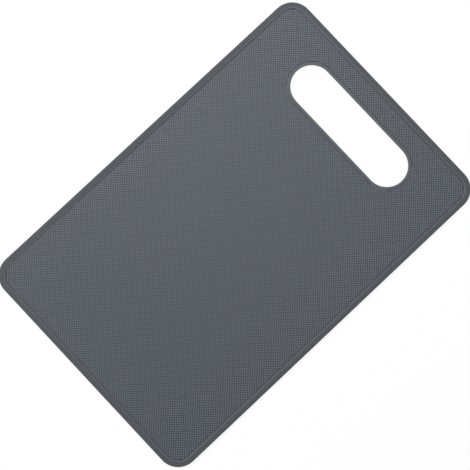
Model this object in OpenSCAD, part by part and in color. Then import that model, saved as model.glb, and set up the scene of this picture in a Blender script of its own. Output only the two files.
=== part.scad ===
// Flexible cutting mat that lies flat, in millimetres.
// An embossed plastic panel carries the cutting field and the hand slot. A soft, non-slip rim
// is moulded round the panel's edge and keys into it. The mat's length runs along X, with the
// hand slot at the +X end, and its underside rests on the plane z = 0.

/* [Mat] */
// Overall length, along X
mat_length = 380; // [280:1:600]
// Overall width, along Y
mat_width = 250; // [200:1:400]
// Radius of the four outer corners
corner_radius = 20; // [12:0.5:50]

/* [Soft rim] */
// Thickness of the mat over the rim
rim_height = 2; // [1.8:0.05:3]
// Width of the band that the rim shows on each face
rim_width = 4.2; // [3.8:0.1:8]
// Radius of the rim's outer edges
rim_edge_radius = 0.8; // [0.3:0.05:0.9]
// Radius of the lip where the rim ends on the panel
rim_lip_radius = 0.2; // [0.05:0.05:0.25]

/* [Panel] */
// Thickness of the panel at its smooth borders
panel_thickness = 1.5; // [1.2:0.05:1.7]
// Depth of the embossed field below the smooth borders
field_recess = 0.3; // [0.05:0.05:0.5]
// Width of the smooth land that follows the rim
rim_land_width = 1.4; // [0.8:0.1:5]
// Width of the groove between that land and the field
rim_groove_width = 1.2; // [0.8:0.1:3]
// Depth of that groove below the land
rim_groove_depth = 0.5; // [0.1:0.05:0.6]

/* [Hand slot] */
// Length of the slot, across the mat
slot_length = 140; // [90:1:160]
// Width of the slot, with full round ends
slot_width = 40; // [25:0.5:50]
// Width of the bar between the slot and the end of the mat, which the fingers close round
grip_bar_width = 27; // [22:0.5:50]
// Radius of the slot's upper and lower edges
slot_edge_radius = 0.5; // [0.1:0.05:0.6]
// Width of the smooth land round the slot
slot_land_width = 2.4; // [1.2:0.1:6]
// Width of the groove between that land and the field
slot_groove_width = 1.1; // [0.6:0.1:3]
// Depth of that groove below the land
slot_groove_depth = 0.35; // [0.1:0.05:0.6]

/* [Interlock] */
// How far the panel's edge reaches under the rim
tongue_reach = 2.8; // [2.2:0.1:3.4]
// Thickness of the tongue between the two key grooves
tongue_web_thickness = 0.7; // [0.4:0.05:0.9]
// Width of the thicker bead along the tongue's tip
tongue_bead_width = 1; // [0.5:0.1:1.2]
// Thickness of that bead
tongue_bead_thickness = 1; // [0.8:0.05:1.2]
// Length of each window through the tongue's web, which the rim flows through
window_length = 6; // [3:0.5:9]
// Width of each window
window_width = 1; // [0.6:0.1:1.4]
// Spacing of the windows along a side, middle to middle
window_pitch = 16; // [10:1:40]

/* [Hidden] */
$fn = 96;

mid_height = rim_height / 2;
panel_bottom = mid_height - panel_thickness / 2;
panel_top = mid_height + panel_thickness / 2;
field_floor = panel_top - field_recess;
// The lip's radius can't pass the step that the rim makes on the panel
lip_radius = min(rim_lip_radius, rim_height - panel_top);
// A round edge can't pass half the thickness that it is cut from
slot_round = min(slot_edge_radius, panel_thickness / 2);
rim_round = min(rim_edge_radius, rim_height / 2);

rim_groove_start = rim_width + rim_land_width;
field_inset = rim_groove_start + rim_groove_width;
slot_field_gap = slot_land_width + slot_groove_width;
slot_x = mat_length / 2 - grip_bar_width - slot_width / 2;
slot_straight = slot_length - slot_width;
tongue_tip = rim_width - tongue_reach;
// Middle of the web, between the bead and the panel's full thickness
window_inset = (tongue_tip + tongue_bead_width + rim_width) / 2;
// How far a cutter passes the face that it opens
overcut = 1;

// Middles of a row of windows that is centred on a side's straight run
function window_places(run) =
    let (gaps = floor((run - window_length) / window_pitch))
    [for (i = [0 : gaps]) (i - gaps / 2) * window_pitch];

panel_colour = [0.36, 0.38, 0.40];
rim_colour = [0.33, 0.34, 0.35];

// Sections are drawn with x measured inward from the mat's outline, or away from the slot's
// edge, and y as height.

// Circle that cuts a round-bottomed groove of the given width and depth into the land
module groove_section(start, width, depth) {
    radius = (width * width / 4 + depth * depth) / (2 * depth);
    translate([start + width / 2, panel_top - depth + radius]) circle(r = radius);
}

// The panel's edge: a thin web with a thicker bead along its tip
module tongue_section() {
    translate([tongue_tip, mid_height - tongue_web_thickness / 2])
        square([tongue_reach, tongue_web_thickness]);
    translate([tongue_tip, mid_height - tongue_bead_thickness / 2])
        square([tongue_bead_width, tongue_bead_thickness]);
}

// Outer shape of the rim: round outer edges, and a small round lip on each face
module rim_outer_section() {
    translate([0, rim_round])
        square([rim_width, rim_height - 2 * rim_round]);
    translate([rim_round, 0])
        square([rim_width - rim_round - lip_radius, rim_height]);
    translate([rim_width - lip_radius, lip_radius])
        square([lip_radius, rim_height - 2 * lip_radius]);
    for (height = [rim_round, rim_height - rim_round])
        translate([rim_round, height]) circle(r = rim_round);
    for (height = [lip_radius, rim_height - lip_radius])
        translate([rim_width - lip_radius, height]) circle(r = lip_radius);
}

module rim_section() {
    difference() {
        rim_outer_section();
        tongue_section();
    }
}

// What is cut from a square upper and lower edge of the slot to round it
module slot_round_section() {
    for (side = [0, 1])
        translate([0, mid_height]) mirror([0, side])
            translate([0, panel_thickness / 2 - slot_round])
                difference() {
                    translate([-overcut, 0]) square([overcut + slot_round, slot_round + overcut]);
                    translate([slot_round, 0]) circle(r = slot_round);
                    translate([slot_round, -slot_round]) square([slot_round, 2 * slot_round]);
                }
}

// Rounded rectangle that follows the mat's outline at the given distance inside it
module outline(inset) {
    radius = corner_radius - inset;
    half_length = mat_length / 2 - corner_radius;
    half_width = mat_width / 2 - corner_radius;
    square([mat_length - 2 * inset, 2 * half_width], center = true);
    square([2 * half_length, mat_width - 2 * inset], center = true);
    for (x = [-half_length, half_length])
        for (y = [-half_width, half_width])
            translate([x, y]) circle(r = radius);
}

// Slot outline, grown by the given distance
module slot_outline(grow) {
    width = slot_width + 2 * grow;
    translate([slot_x, 0]) {
        square([width, slot_straight], center = true);
        for (y = [-slot_straight / 2, slot_straight / 2])
            translate([0, y]) circle(d = width);
    }
}

// Carries a section round the mat's outline: four straight runs and four quarter turns
module around_mat() {
    half_length = mat_length / 2 - corner_radius;
    half_width = mat_width / 2 - corner_radius;
    for (side = [0, 1]) {
        mirror([side, 0, 0])
            translate([mat_length / 2, 0, 0]) rotate([90, 0, 0])
                linear_extrude(height = 2 * half_width, center = true) mirror([1, 0]) children();
        mirror([0, side, 0])
            translate([0, mat_width / 2, 0]) rotate([90, 0, 90])
                linear_extrude(height = 2 * half_length, center = true) mirror([1, 0]) children();
    }
    for (x_side = [0, 1])
        for (y_side = [0, 1])
            mirror([x_side, 0, 0]) mirror([0, y_side, 0])
                translate([half_length, half_width, 0])
                    rotate_extrude(angle = 90) translate([corner_radius, 0]) mirror([1, 0]) children();
}

// Carries a section round the slot: two straight runs and two half turns
module around_slot() {
    translate([slot_x, 0, 0])
        for (side = [0, 1]) {
            mirror([side, 0, 0])
                translate([slot_width / 2, 0, 0]) rotate([90, 0, 0])
                    linear_extrude(height = slot_straight, center = true) children();
            mirror([0, side, 0])
                translate([0, slot_straight / 2, 0])
                    rotate_extrude(angle = 180) translate([slot_width / 2, 0]) children();
        }
}

// One window's outline, with full round ends
module window_outline() {
    straight = window_length - window_width;
    square([straight, window_width], center = true);
    for (x = [-straight / 2, straight / 2])
        translate([x, 0]) circle(d = window_width);
}

// Rows of windows along the four straight sides, as solids of the given height about mid height
module window_rows(height) {
    translate([0, 0, mid_height])
        linear_extrude(height = height, center = true)
            for (side = [-1, 1]) {
                for (x = window_places(mat_length - 2 * corner_radius))
                    translate([x, side * (mat_width / 2 - window_inset)]) window_outline();
                for (y = window_places(mat_width - 2 * corner_radius))
                    translate([side * (mat_length / 2 - window_inset), y])
                        rotate(90) window_outline();
            }
}

// Embossed panel with its smooth borders, the hand slot and the tongue that the rim grips
module cutting_panel() {
    color(panel_colour)
        difference() {
            union() {
                translate([0, 0, panel_bottom])
                    linear_extrude(height = panel_thickness) outline(rim_width);
                around_mat() tongue_section();
            }
            translate([0, 0, panel_bottom - overcut])
                linear_extrude(height = panel_thickness + 2 * overcut) slot_outline(0);
            around_slot() slot_round_section();
            translate([0, 0, field_floor])
                linear_extrude(height = field_recess + overcut)
                    difference() {
                        outline(field_inset);
                        slot_outline(slot_field_gap);
                    }
            around_mat() groove_section(rim_groove_start, rim_groove_width, rim_groove_depth);
            around_slot() groove_section(slot_land_width, slot_groove_width, slot_groove_depth);
            window_rows(tongue_web_thickness + overcut);
        }
}

// Soft rim, moulded on in one closed ring that fills the panel's key grooves and its windows
module edge_rim() {
    color(rim_colour)
        union() {
            around_mat() rim_section();
            window_rows(tongue_web_thickness);
        }
}

cutting_panel();
edge_rim();
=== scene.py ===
"""Looks of a flexible cutting mat: embossed field, smooth borders, soft rim, studio and camera."""

import logging
import math
from dataclasses import dataclass, field
from enum import Enum

import bmesh
import bpy
from mathutils import Matrix, Vector

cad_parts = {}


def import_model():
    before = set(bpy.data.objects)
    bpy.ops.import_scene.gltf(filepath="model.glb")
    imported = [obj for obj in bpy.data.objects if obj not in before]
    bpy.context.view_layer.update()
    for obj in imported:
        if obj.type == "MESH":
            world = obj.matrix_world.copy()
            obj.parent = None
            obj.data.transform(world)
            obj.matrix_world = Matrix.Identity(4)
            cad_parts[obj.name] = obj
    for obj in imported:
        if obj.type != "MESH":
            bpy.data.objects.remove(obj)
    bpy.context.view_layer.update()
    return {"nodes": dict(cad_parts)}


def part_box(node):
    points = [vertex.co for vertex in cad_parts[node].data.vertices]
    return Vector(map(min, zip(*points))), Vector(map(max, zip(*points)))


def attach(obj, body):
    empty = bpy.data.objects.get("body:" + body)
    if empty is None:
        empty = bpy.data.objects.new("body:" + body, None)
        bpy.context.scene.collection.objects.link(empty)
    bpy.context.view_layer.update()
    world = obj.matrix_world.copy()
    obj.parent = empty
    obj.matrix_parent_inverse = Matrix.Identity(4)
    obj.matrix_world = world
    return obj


log = logging.getLogger("cutting_mat")

MM = 0.001
# Width in pixels of the photograph that the camera is matched to
IMAGE_SIDE = 470
# Sensor width in millimetres, which the lens length is worked out for
SENSOR_WIDTH = 36.0
# Slope towards up, as a normal's Z, from which a face counts as an upward one
UPWARD = 0.05
# How far the grain moves the roughness either way
ROUGHNESS_SWING = 0.06
# Octaves and raggedness of the grain's fine noise
GRAIN_DETAIL = 3.0
GRAIN_RAGGEDNESS = 0.6
# Share of the pits in the grain, beside the fine noise
PIT_SHARE = 0.5
# Share of the grain's height that the shading shows
GRAIN_STRENGTH = 0.5
# Octaves of the mottle's noise, and the value that its noise varies about
MOTTLE_DETAIL = 4.0
NOISE_MIDDLE = 0.5
# Distance within which a cutting plane takes a corner as lying on it
CUT_TOLERANCE = 1e-7
# Corners closer than this are the same corner
WELD_DISTANCE = 1e-6


class Slot(Enum):
    """Material slots of the record that the finishes belong to."""

    PANEL = "panel_plastic"
    RIM = "rim_elastomer"


@dataclass(frozen=True)
class GrainRecipe:
    """How strongly the grain and the mottle show on one finish."""

    grain_scale: float
    grain_height: float
    mottle_scale: float
    mottle_strength: float


class SurfaceEffects:
    """Node groups that more than one finish uses. Each is built once."""

    def __init__(self) -> None:
        """Starts with no group built."""
        self._groups: dict[str, bpy.types.NodeTree] = {}

    def _new_group(
        self, name: str, inputs: dict[str, float], outputs: dict[str, str]
    ) -> bpy.types.NodeTree:
        """Creates an empty shader group with its sockets.

        Args:
            name: The group's name.
            inputs: Name and default of each float input.
            outputs: Name and socket type of each output.

        Returns:
            The group, with a vector input called Position first.
        """
        group = bpy.data.node_groups.new(name, "ShaderNodeTree")
        group.interface.new_socket(name="Position", in_out="INPUT", socket_type="NodeSocketVector")
        for label, default in inputs.items():
            socket = group.interface.new_socket(
                name=label, in_out="INPUT", socket_type="NodeSocketFloat"
            )
            socket.default_value = default
        for label, kind in outputs.items():
            group.interface.new_socket(name=label, in_out="OUTPUT", socket_type=kind)
        return group

    def moulded_grain(self) -> bpy.types.NodeTree:
        """Fine spark-eroded grain of a moulded face.

        Returns:
            A group that puts out Height, and Roughness Shift about zero.
        """
        if "moulded_grain" in self._groups:
            return self._groups["moulded_grain"]
        group = self._new_group(
            "moulded_grain",
            {"Scale": 2500.0},
            {"Height": "NodeSocketFloat", "Roughness Shift": "NodeSocketFloat"},
        )
        nodes, links = group.nodes, group.links
        source = nodes.new("NodeGroupInput")
        sink = nodes.new("NodeGroupOutput")
        fine = nodes.new("ShaderNodeTexNoise")
        fine.inputs["Detail"].default_value = GRAIN_DETAIL
        fine.inputs["Roughness"].default_value = GRAIN_RAGGEDNESS
        pits = nodes.new("ShaderNodeTexVoronoi")
        pits.feature = "SMOOTH_F1"
        blend = nodes.new("ShaderNodeMath")
        blend.operation = "MULTIPLY_ADD"
        blend.inputs[1].default_value = PIT_SHARE
        shift = nodes.new("ShaderNodeMapRange")
        shift.inputs["To Min"].default_value = -ROUGHNESS_SWING
        shift.inputs["To Max"].default_value = ROUGHNESS_SWING
        links.new(source.outputs["Position"], fine.inputs["Vector"])
        links.new(source.outputs["Scale"], fine.inputs["Scale"])
        links.new(source.outputs["Position"], pits.inputs["Vector"])
        links.new(source.outputs["Scale"], pits.inputs["Scale"])
        links.new(pits.outputs["Distance"], blend.inputs[0])
        links.new(fine.outputs["Fac"], blend.inputs[2])
        links.new(blend.outputs["Value"], sink.inputs["Height"])
        links.new(fine.outputs["Fac"], shift.inputs["Value"])
        links.new(shift.outputs["Result"], sink.inputs["Roughness Shift"])
        self._groups["moulded_grain"] = group
        return group

    def pigment_mottle(self) -> bpy.types.NodeTree:
        """Slow, faint unevenness of the pigment in a moulded sheet.

        Returns:
            A group that puts out Factor, a brightness factor about one.
        """
        if "pigment_mottle" in self._groups:
            return self._groups["pigment_mottle"]
        group = self._new_group(
            "pigment_mottle", {"Scale": 12.0, "Strength": 0.05}, {"Factor": "NodeSocketFloat"}
        )
        nodes, links = group.nodes, group.links
        source = nodes.new("NodeGroupInput")
        sink = nodes.new("NodeGroupOutput")
        cloud = nodes.new("ShaderNodeTexNoise")
        cloud.inputs["Detail"].default_value = MOTTLE_DETAIL
        centred = nodes.new("ShaderNodeMath")
        centred.operation = "SUBTRACT"
        centred.inputs[1].default_value = NOISE_MIDDLE
        factor = nodes.new("ShaderNodeMath")
        factor.operation = "MULTIPLY_ADD"
        factor.inputs[2].default_value = 1.0
        links.new(source.outputs["Position"], cloud.inputs["Vector"])
        links.new(source.outputs["Scale"], cloud.inputs["Scale"])
        links.new(cloud.outputs["Fac"], centred.inputs[0])
        links.new(centred.outputs["Value"], factor.inputs[0])
        links.new(source.outputs["Strength"], factor.inputs[1])
        links.new(factor.outputs["Value"], sink.inputs["Factor"])
        self._groups["pigment_mottle"] = group
        return group

    def valley_shade(self) -> bpy.types.NodeTree:
        """Darkening of upward faces from a height down to a floor, where little light gets in.

        Returns:
            A group that puts out Factor, from Shade on the floor to one at Rise above it.
        """
        if "valley_shade" in self._groups:
            return self._groups["valley_shade"]
        group = self._new_group(
            "valley_shade", {"Floor": 0.0, "Rise": 0.001, "Shade": 0.5}, {"Factor": "NodeSocketFloat"}
        )
        group.interface.new_socket(name="Facing", in_out="INPUT", socket_type="NodeSocketVector")
        nodes, links = group.nodes, group.links
        source = nodes.new("NodeGroupInput")
        sink = nodes.new("NodeGroupOutput")
        place = nodes.new("ShaderNodeSeparateXYZ")
        facing = nodes.new("ShaderNodeSeparateXYZ")
        top = nodes.new("ShaderNodeMath")
        top.operation = "ADD"
        depth = nodes.new("ShaderNodeMapRange")
        upward = nodes.new("ShaderNodeMath")
        upward.operation = "GREATER_THAN"
        upward.inputs[1].default_value = UPWARD
        chosen = nodes.new("ShaderNodeMix")
        chosen.inputs["A"].default_value = 1.0
        links.new(source.outputs["Position"], place.inputs["Vector"])
        links.new(source.outputs["Facing"], facing.inputs["Vector"])
        links.new(source.outputs["Floor"], top.inputs[0])
        links.new(source.outputs["Rise"], top.inputs[1])
        links.new(place.outputs["Z"], depth.inputs["Value"])
        links.new(source.outputs["Floor"], depth.inputs["From Min"])
        links.new(top.outputs["Value"], depth.inputs["From Max"])
        links.new(source.outputs["Shade"], depth.inputs["To Min"])
        links.new(facing.outputs["Z"], upward.inputs[0])
        links.new(upward.outputs["Value"], chosen.inputs["Factor"])
        links.new(depth.outputs["Result"], chosen.inputs["B"])
        links.new(chosen.outputs["Result"], sink.inputs["Factor"])
        self._groups["valley_shade"] = group
        return group


@dataclass(frozen=True)
class MouldedFinish:
    """A moulded plastic or elastomer with grain, mottle and, where asked for, painted shade in its
    valleys.
    """

    name: str
    colour: tuple[float, float, float]
    roughness: float
    specular: float
    recipe: GrainRecipe
    # Painted shade: where the valleys' darkening starts, how high it fades out, and how dark it gets
    valley_floor: float | None = None
    valley_height: float = 0.0
    valley_shade: float = 1.0

    def material(self, effects: SurfaceEffects) -> bpy.types.Material:
        """Builds the finish's material.

        Args:
            effects: The shared node groups.

        Returns:
            The new material.
        """
        material = bpy.data.materials.new(self.name)
        material.use_nodes = True
        material.diffuse_color = (*self.colour, 1.0)
        tree = material.node_tree
        shader = tree.nodes["Principled BSDF"]
        shader.inputs["Specular IOR Level"].default_value = self.specular
        place = tree.nodes.new("ShaderNodeTexCoord")
        grain = self._group_node(tree, effects.moulded_grain())
        grain.inputs["Scale"].default_value = self.recipe.grain_scale
        mottle = self._group_node(tree, effects.pigment_mottle())
        mottle.inputs["Scale"].default_value = self.recipe.mottle_scale
        mottle.inputs["Strength"].default_value = self.recipe.mottle_strength
        for effect in (grain, mottle):
            tree.links.new(place.outputs["Object"], effect.inputs["Position"])
        self._wire_colour(tree, effects, place, mottle, shader)
        rough = tree.nodes.new("ShaderNodeMath")
        rough.operation = "ADD"
        rough.inputs[1].default_value = self.roughness
        tree.links.new(grain.outputs["Roughness Shift"], rough.inputs[0])
        tree.links.new(rough.outputs["Value"], shader.inputs["Roughness"])
        bump = tree.nodes.new("ShaderNodeBump")
        bump.inputs["Distance"].default_value = self.recipe.grain_height
        bump.inputs["Strength"].default_value = GRAIN_STRENGTH
        tree.links.new(grain.outputs["Height"], bump.inputs["Height"])
        tree.links.new(bump.outputs["Normal"], shader.inputs["Normal"])
        return material

    def _group_node(self, tree: bpy.types.NodeTree, group: bpy.types.NodeTree) -> bpy.types.Node:
        """Places a node group in a material's tree.

        Args:
            tree: The material's node tree.
            group: The group to place.

        Returns:
            The new group node.
        """
        node = tree.nodes.new("ShaderNodeGroup")
        node.node_tree = group
        return node

    def _wire_colour(
        self,
        tree: bpy.types.NodeTree,
        effects: SurfaceEffects,
        place: bpy.types.Node,
        mottle: bpy.types.Node,
        shader: bpy.types.Node,
    ) -> None:
        """Feeds the base colour: the pigment, its mottle, and the shade of the valleys.

        Args:
            tree: The material's node tree.
            effects: The shared node groups.
            place: The texture coordinate node.
            mottle: The mottle group node.
            shader: The material's shader.
        """
        tint = tree.nodes.new("ShaderNodeVectorMath")
        tint.operation = "SCALE"
        tint.inputs[0].default_value = self.colour
        brightness = mottle.outputs["Factor"]
        # Painted shade in the valleys, multiplied into the mottled colour
        if self.valley_floor is not None:
            valleys = self._group_node(tree, effects.valley_shade())
            valleys.inputs["Floor"].default_value = self.valley_floor
            valleys.inputs["Rise"].default_value = self.valley_height
            valleys.inputs["Shade"].default_value = self.valley_shade
            shade = tree.nodes.new("ShaderNodeMath")
            shade.operation = "MULTIPLY"
            tree.links.new(place.outputs["Object"], valleys.inputs["Position"])
            tree.links.new(place.outputs["Normal"], valleys.inputs["Facing"])
            tree.links.new(valleys.outputs["Factor"], shade.inputs[0])
            tree.links.new(brightness, shade.inputs[1])
            brightness = shade.outputs["Value"]
        tree.links.new(brightness, tint.inputs["Scale"])
        tree.links.new(tint.outputs["Vector"], shader.inputs["Base Color"])


@dataclass
class MatLayout:
    """Sizes of the mat that the scene's own pieces are fitted to, in metres."""

    corner_radius: float = 20.0 * MM
    field_inset: float = 6.8 * MM
    field_recess: float = 0.3 * MM
    groove_depth: float = 0.5 * MM
    slot_length: float = 140.0 * MM
    slot_width: float = 40.0 * MM
    grip_bar_width: float = 27.0 * MM
    slot_field_gap: float = 3.5 * MM
    half_length: float = field(init=False)
    half_width: float = field(init=False)
    panel_top: float = field(init=False)

    def __post_init__(self) -> None:
        """Takes the overall sizes and the panel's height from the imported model."""
        rim_low, rim_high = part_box("edge_rim")
        _, panel_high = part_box("cutting_panel")
        self.half_length = (rim_high[0] - rim_low[0]) / 2
        self.half_width = (rim_high[1] - rim_low[1]) / 2
        self.panel_top = panel_high[2]

    @property
    def field_floor(self) -> float:
        """Height of the flat floor that the relief stands on."""
        return self.panel_top - self.field_recess

    @property
    def slot_x(self) -> float:
        """Middle of the hand slot, along the mat."""
        return self.half_length - self.grip_bar_width - self.slot_width / 2


@dataclass
class EmbossedField:
    """The cutting field's relief: a crosshatch of small pyramids in the panel's sunk field.

    The cells stand a hair above the field's floor, and their skirt reaches into the panel.
    """

    layout: MatLayout
    pitch: float = 2.04 * MM
    turn: float = 45.0
    height: float = 0.3 * MM
    base_lift: float = 0.01 * MM
    root_depth: float = 0.15 * MM
    arc_steps: int = 14

    @property
    def near(self) -> float:
        """Distance of two cells, within which a face may be met by a cut."""
        return 2 * self.pitch

    def build(self) -> bpy.types.Object:
        """Models the relief.

        Returns:
            The relief as one closed mesh.
        """
        mesh = bmesh.new()
        self._raise_pyramids(mesh)
        self._trim_to_border(mesh)
        self._open_round_slot(mesh)
        self._close_underneath(mesh)
        bmesh.ops.recalc_face_normals(mesh, faces=mesh.faces)
        data = bpy.data.meshes.new("embossed_field")
        mesh.to_mesh(data)
        mesh.free()
        piece = bpy.data.objects.new("embossed_field", data)
        bpy.context.scene.collection.objects.link(piece)
        return piece

    def _raise_pyramids(self, mesh: bmesh.types.BMesh) -> None:
        """Fills the field with square cells at an angle to its sides, each poked to a point.

        Args:
            mesh: The relief, still empty.
        """
        reach = self.layout.half_length + self.layout.half_width
        cells = math.ceil(reach * math.sqrt(2.0) / self.pitch)
        bmesh.ops.create_grid(mesh, x_segments=cells, y_segments=cells, size=cells * self.pitch / 2)
        turn = Matrix.Rotation(math.radians(self.turn), 3, "Z")
        bmesh.ops.rotate(mesh, verts=mesh.verts, cent=(0, 0, 0), matrix=turn)
        base = self.layout.field_floor + self.base_lift
        bmesh.ops.translate(mesh, verts=mesh.verts, vec=(0, 0, base))
        outside = [
            cell
            for cell in mesh.faces
            if abs(cell.calc_center_median().x) > self.layout.half_length + self.near
            or abs(cell.calc_center_median().y) > self.layout.half_width + self.near
        ]
        bmesh.ops.delete(mesh, geom=outside, context="FACES")
        poked = bmesh.ops.poke(mesh, faces=mesh.faces)
        bmesh.ops.translate(mesh, verts=poked["verts"], vec=(0, 0, self.height))

    def _cut(
        self, mesh: bmesh.types.BMesh, faces: list, point: Vector, normal: Vector, clear: bool
    ) -> None:
        """Cuts the given faces along an upright plane.

        Args:
            mesh: The relief.
            faces: The faces to cut.
            point: A point on the plane.
            normal: The plane's normal, which points away from what stays.
            clear: Whether what lies beyond the plane goes.
        """
        edges = {edge for face in faces for edge in face.edges}
        corners = {corner for face in faces for corner in face.verts}
        bmesh.ops.bisect_plane(
            mesh,
            geom=[*faces, *edges, *corners],
            dist=CUT_TOLERANCE,
            plane_co=point,
            plane_no=normal,
            clear_outer=clear,
        )

    def _trim_to_border(self, mesh: bmesh.types.BMesh) -> None:
        """Trims the relief to the field's rounded outline, inside the groove.

        Args:
            mesh: The relief.
        """
        layout = self.layout
        radius = layout.corner_radius - layout.field_inset
        half_x = layout.half_length - layout.field_inset
        half_y = layout.half_width - layout.field_inset
        for normal, reach in ((Vector((1, 0, 0)), half_x), (Vector((0, 1, 0)), half_y)):
            for side in (1, -1):
                self._cut(mesh, list(mesh.faces), normal * side * reach, normal * side, True)
        for side_x in (1, -1):
            for side_y in (1, -1):
                centre = Vector((side_x * (half_x - radius), side_y * (half_y - radius), 0))
                for step in range(1, self.arc_steps):
                    angle = math.pi / 2 * step / self.arc_steps
                    normal = Vector((side_x * math.cos(angle), side_y * math.sin(angle), 0))
                    at_corner = [
                        face
                        for face in mesh.faces
                        if (face.calc_center_median().x - centre.x) * side_x > -self.near
                        and (face.calc_center_median().y - centre.y) * side_y > -self.near
                    ]
                    self._cut(mesh, at_corner, centre + normal * radius, normal, True)

    def _open_round_slot(self, mesh: bmesh.types.BMesh) -> None:
        """Takes the relief away over the hand slot, its smooth land and its groove.

        Args:
            mesh: The relief.
        """
        layout = self.layout
        radius = layout.slot_width / 2 + layout.slot_field_gap
        straight = (layout.slot_length - layout.slot_width) / 2
        middle = Vector((layout.slot_x, 0, 0))
        for side in (1, -1):
            touch = middle + Vector((side * radius, 0, 0))
            band = self._faces_near(mesh, touch, self.near, straight + self.pitch)
            self._cut(mesh, band, touch, Vector((side, 0, 0)), False)
        for end in (1, -1):
            centre = middle + Vector((0, end * straight, 0))
            for step in range(2 * self.arc_steps + 1):
                angle = math.pi * step / (2 * self.arc_steps)
                normal = Vector((math.cos(angle), end * math.sin(angle), 0))
                touch = centre + normal * radius
                close_by = self._faces_near(mesh, touch, self.near, self.near)
                self._cut(mesh, close_by, touch, normal, False)
        inside = [
            face
            for face in mesh.faces
            if self._in_slot(face.calc_center_median(), middle, straight, radius)
        ]
        bmesh.ops.delete(mesh, geom=inside, context="FACES")

    def _faces_near(
        self, mesh: bmesh.types.BMesh, point: Vector, reach_x: float, reach_y: float
    ) -> list:
        """Finds the faces in a box round a point.

        Args:
            mesh: The relief.
            point: The box's middle.
            reach_x: How far the box reaches along the mat.
            reach_y: How far it reaches across the mat.

        Returns:
            The faces whose middle is in the box.
        """
        return [
            face
            for face in mesh.faces
            if abs(face.calc_center_median().x - point.x) < reach_x
            and abs(face.calc_center_median().y - point.y) < reach_y
        ]

    def _in_slot(self, point: Vector, middle: Vector, straight: float, radius: float) -> bool:
        """Says whether a point lies over the slot, its land and its groove.

        Args:
            point: The point to test.
            middle: The slot's middle.
            straight: Half the length of the slot's straight sides.
            radius: Radius of the slot's ends, land and groove included.

        Returns:
            True if the point is inside.
        """
        across = max(abs(point.y - middle.y) - straight, 0.0)
        return math.hypot(point.x - middle.x, across) < radius

    def _close_underneath(self, mesh: bmesh.types.BMesh) -> None:
        """Drops a skirt from every open edge into the panel and closes it with a flat bottom.

        Args:
            mesh: The relief.
        """
        bmesh.ops.remove_doubles(mesh, verts=mesh.verts, dist=WELD_DISTANCE)
        rims = [edge for edge in mesh.edges if len(edge.link_faces) == 1]
        skirt = bmesh.ops.extrude_edge_only(mesh, edges=rims)
        bottom = self.layout.field_floor - self.root_depth
        low_edges = []
        for item in skirt["geom"]:
            if isinstance(item, bmesh.types.BMVert):
                item.co.z = bottom
            elif isinstance(item, bmesh.types.BMEdge) and len(item.link_faces) == 1:
                low_edges.append(item)
        bmesh.ops.triangle_fill(mesh, use_beauty=True, use_dissolve=False, edges=low_edges)

    def dress(self, piece: bpy.types.Object, material: bpy.types.Material) -> None:
        """Gives the relief its material and body.

        Args:
            piece: The relief's object.
            material: Its finish.
        """
        piece.data.materials.append(material)
        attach(piece, "root")


@dataclass
class CadPiece:
    """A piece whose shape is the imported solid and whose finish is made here."""

    node: str
    piece: bpy.types.Object

    def dress(self, material: bpy.types.Material) -> None:
        """Puts the finish in every material slot of the piece.

        Args:
            material: The piece's finish.
        """
        for material_slot in self.piece.material_slots:
            material_slot.material = material
        log.info("%s: %s", self.node, material.name)


@dataclass
class Lamp:
    """A soft square lamp aimed at the middle of the mat."""

    name: str
    place: Vector
    size: float
    power: float

    def build(self) -> bpy.types.Object:
        """Adds the lamp.

        Returns:
            The lamp's object.
        """
        data = bpy.data.lights.new(self.name, "AREA")
        data.shape = "SQUARE"
        data.size = self.size
        data.energy = self.power
        lamp = bpy.data.objects.new(self.name, data)
        bpy.context.scene.collection.objects.link(lamp)
        lamp.location = self.place
        lamp.rotation_euler = (-self.place).to_track_quat("-Z", "Y").to_euler()
        return lamp


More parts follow.
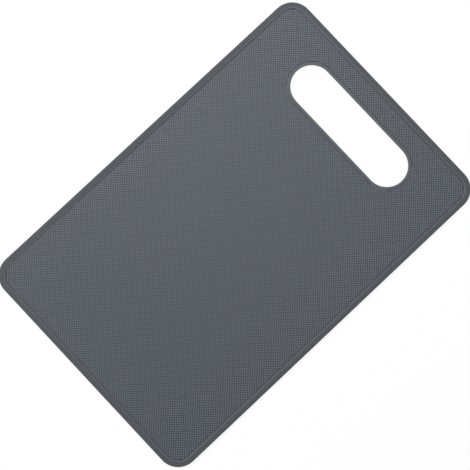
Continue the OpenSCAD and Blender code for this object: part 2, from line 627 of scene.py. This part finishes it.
@dataclass
class Studio:
    """Plain white table, soft light and the photograph's camera.

    Distances are in metres and powers in watts. Bearings, tilts and the roll are in degrees.
    """

    floor_side: float = 24.0
    floor_drop: float = 0.05 * MM
    floor_colour: float = 0.85
    floor_roughness: float = 0.9
    floor_white_share: float = 0.8
    floor_glow: float = 1.07
    ambient: float = 0.29
    backdrop_white: float = 0.93
    key_bearing: float = 152.0
    key_reach: float = 2.0
    key_height: float = 1.4
    key_size: float = 0.8
    key_power: float = 46.0
    fill_bearing: float = 75.0
    fill_reach: float = 0.9
    fill_height: float = 0.9
    fill_size: float = 0.6
    fill_power: float = 4.5
    camera_place: tuple[float, float, float] = (-0.0386, -0.0239, 0.8598)
    camera_tilt_x: float = 1.49
    camera_tilt_y: float = -2.40
    camera_roll: float = -43.10
    focal_pixels: float = 940.0

    def build(self) -> None:
        """Builds the floor, the world, the lamps and the camera."""
        self._floor()
        self._world()
        for lamp in self._lamps():
            lamp.build()
        self._camera()
        bpy.context.scene.view_settings.view_transform = "Standard"

    def _lamps(self) -> list[Lamp]:
        """Places the lamps.

        Returns:
            The key lamp far off on the picture's left, and a weaker, nearer one beyond its top.
        """
        key = self._in_picture(self.key_bearing, self.key_reach, self.key_height)
        fill = self._in_picture(self.fill_bearing, self.fill_reach, self.fill_height)
        return [
            Lamp("key", key, self.key_size, self.key_power),
            Lamp("fill", fill, self.fill_size, self.fill_power),
        ]

    def _in_picture(self, bearing: float, reach: float, height: float) -> Vector:
        """Finds a place above the table from its direction in the picture.

        Args:
            bearing: Direction from the mat's middle, in degrees from the picture's right, upwards.
            reach: Distance from the mat's middle over the table.
            height: Height above the table.

        Returns:
            The place in the scene.
        """
        angle = math.radians(self.camera_roll + bearing)
        return Vector((math.cos(angle) * reach, math.sin(angle) * reach, height))

    def _floor(self) -> None:
        """Adds the table top, which the camera sees nearly white and which keeps the mat's shadow."""
        mesh = bmesh.new()
        bmesh.ops.create_grid(mesh, x_segments=1, y_segments=1, size=self.floor_side / 2)
        bmesh.ops.translate(mesh, verts=mesh.verts, vec=(0, 0, -self.floor_drop))
        data = bpy.data.meshes.new("floor")
        mesh.to_mesh(data)
        mesh.free()
        floor = bpy.data.objects.new("floor", data)
        bpy.context.scene.collection.objects.link(floor)
        material = bpy.data.materials.new("white_table")
        material.use_nodes = True
        tree = material.node_tree
        shader = tree.nodes["Principled BSDF"]
        shader.inputs["Base Color"].default_value = (*[self.floor_colour] * 3, 1.0)
        shader.inputs["Roughness"].default_value = self.floor_roughness
        glow = tree.nodes.new("ShaderNodeEmission")
        glow.inputs["Strength"].default_value = self.floor_glow
        rays = tree.nodes.new("ShaderNodeLightPath")
        seen = tree.nodes.new("ShaderNodeMath")
        seen.operation = "MULTIPLY"
        seen.inputs[1].default_value = self.floor_white_share
        mix = tree.nodes.new("ShaderNodeMixShader")
        tree.links.new(rays.outputs["Is Camera Ray"], seen.inputs[0])
        tree.links.new(seen.outputs["Value"], mix.inputs["Fac"])
        tree.links.new(shader.outputs["BSDF"], mix.inputs[1])
        tree.links.new(glow.outputs["Emission"], mix.inputs[2])
        tree.links.new(mix.outputs["Shader"], tree.nodes["Material Output"].inputs["Surface"])
        data.materials.append(material)

    def _world(self) -> None:
        """Sets an even, neutral surround."""
        world = bpy.data.worlds.new("studio")
        bpy.context.scene.world = world
        world.use_nodes = True
        tree = world.node_tree
        surround = tree.nodes["Background"]
        surround.inputs["Strength"].default_value = self.ambient
        white = tree.nodes.new("ShaderNodeBackground")
        rays = tree.nodes.new("ShaderNodeLightPath")
        mix = tree.nodes.new("ShaderNodeMixShader")
        surround.inputs["Color"].default_value = (1, 1, 1, 1)
        white.inputs["Color"].default_value = (1, 1, 1, 1)
        white.inputs["Strength"].default_value = self.backdrop_white
        tree.links.new(rays.outputs["Is Camera Ray"], mix.inputs["Fac"])
        tree.links.new(surround.outputs["Background"], mix.inputs[1])
        tree.links.new(white.outputs["Background"], mix.inputs[2])
        tree.links.new(mix.outputs["Shader"], tree.nodes["World Output"].inputs["Surface"])

    def _camera(self) -> None:
        """Places the camera where the photograph was taken from."""
        data = bpy.data.cameras.new("photo_camera")
        data.sensor_width = SENSOR_WIDTH
        data.lens = SENSOR_WIDTH * self.focal_pixels / IMAGE_SIDE
        camera = bpy.data.objects.new("photo_camera", data)
        bpy.context.scene.collection.objects.link(camera)
        camera.location = self.camera_place
        camera.rotation_mode = "ZYX"
        camera.rotation_euler = [
            math.radians(angle) for angle in (self.camera_tilt_x, self.camera_tilt_y, self.camera_roll)
        ]
        bpy.context.scene.camera = camera


PANEL_COLOUR = (0.114, 0.127, 0.145)
# The relief is the panel's plastic, painted paler than the smooth borders to stand for the glints on
# its crests, and its valleys are darker with painted shade
RELIEF_COLOUR_WITH_PAINTED_GLINT = (0.145, 0.167, 0.196)
RIM_COLOUR = (0.085, 0.094, 0.105)
MOULDED_GRAIN = GrainRecipe(
    grain_scale=2500.0,
    grain_height=0.02 * MM,
    mottle_scale=14.0,
    mottle_strength=0.05,
)
RUBBERY_GRAIN = GrainRecipe(
    grain_scale=1800.0,
    grain_height=0.03 * MM,
    mottle_scale=20.0,
    mottle_strength=0.06,
)


@dataclass
class MatFinishes:
    """The mat's three finishes, fitted to the heights of its layout and its relief."""

    layout: MatLayout
    relief: EmbossedField
    # Painted shade at the bottom of the panel's grooves, as a factor of its colour
    groove_painted_shade: float = 0.76
    # Painted shade at the bottom of the crosshatch's valleys; it fades out at crest_start of the
    # pyramids' height
    crosshatch_painted_shade: float = 0.15
    crest_start: float = 0.6

    def smooth(self, slot: Slot) -> MouldedFinish:
        """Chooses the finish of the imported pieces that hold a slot.

        Args:
            slot: The record's material slot.

        Returns:
            The slot's finish on smooth faces.
        """
        return self.panel() if slot is Slot.PANEL else self.rim()

    def panel(self) -> MouldedFinish:
        """Satin plastic of the smooth borders.

        Returns:
            The finish, with painted shade in the grooves.
        """
        return MouldedFinish(
            name="satin_polypropylene",
            colour=PANEL_COLOUR,
            roughness=0.42,
            specular=0.5,
            recipe=MOULDED_GRAIN,
            valley_floor=self.layout.panel_top - self.layout.groove_depth,
            valley_height=self.layout.groove_depth,
            valley_shade=self.groove_painted_shade,
        )

    def crosshatch(self) -> MouldedFinish:
        """The same plastic on the relief, painted paler than the borders to stand for the glints of
        its crests.

        Returns:
            The finish, with painted shade in the valleys between the pyramids.
        """
        return MouldedFinish(
            name="embossed_polypropylene",
            colour=RELIEF_COLOUR_WITH_PAINTED_GLINT,
            roughness=0.45,
            specular=0.5,
            recipe=MOULDED_GRAIN,
            valley_floor=self.layout.field_floor,
            valley_height=self.relief.height * self.crest_start,
            valley_shade=self.crosshatch_painted_shade,
        )

    def rim(self) -> MouldedFinish:
        """Soft elastomer.

        Returns:
            The matt finish.
        """
        return MouldedFinish(
            name="soft_elastomer",
            colour=RIM_COLOUR,
            roughness=0.62,
            specular=0.35,
            recipe=RUBBERY_GRAIN,
        )


def main() -> None:
    """Dresses the mat's pieces and sets the studio round them."""
    logging.basicConfig(level=logging.INFO, format="%(message)s")
    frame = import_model()
    effects = SurfaceEffects()
    layout = MatLayout()
    relief = EmbossedField(layout)
    finishes = MatFinishes(layout, relief)
    for node, slot in (("cutting_panel", Slot.PANEL), ("edge_rim", Slot.RIM)):
        CadPiece(node, frame["nodes"][node]).dress(finishes.smooth(slot).material(effects))
    piece = relief.build()
    relief.dress(piece, finishes.crosshatch().material(effects))
    log.info("embossed_field: %d faces", len(piece.data.polygons))
    Studio().build()


if __name__ == "__main__":
    main()
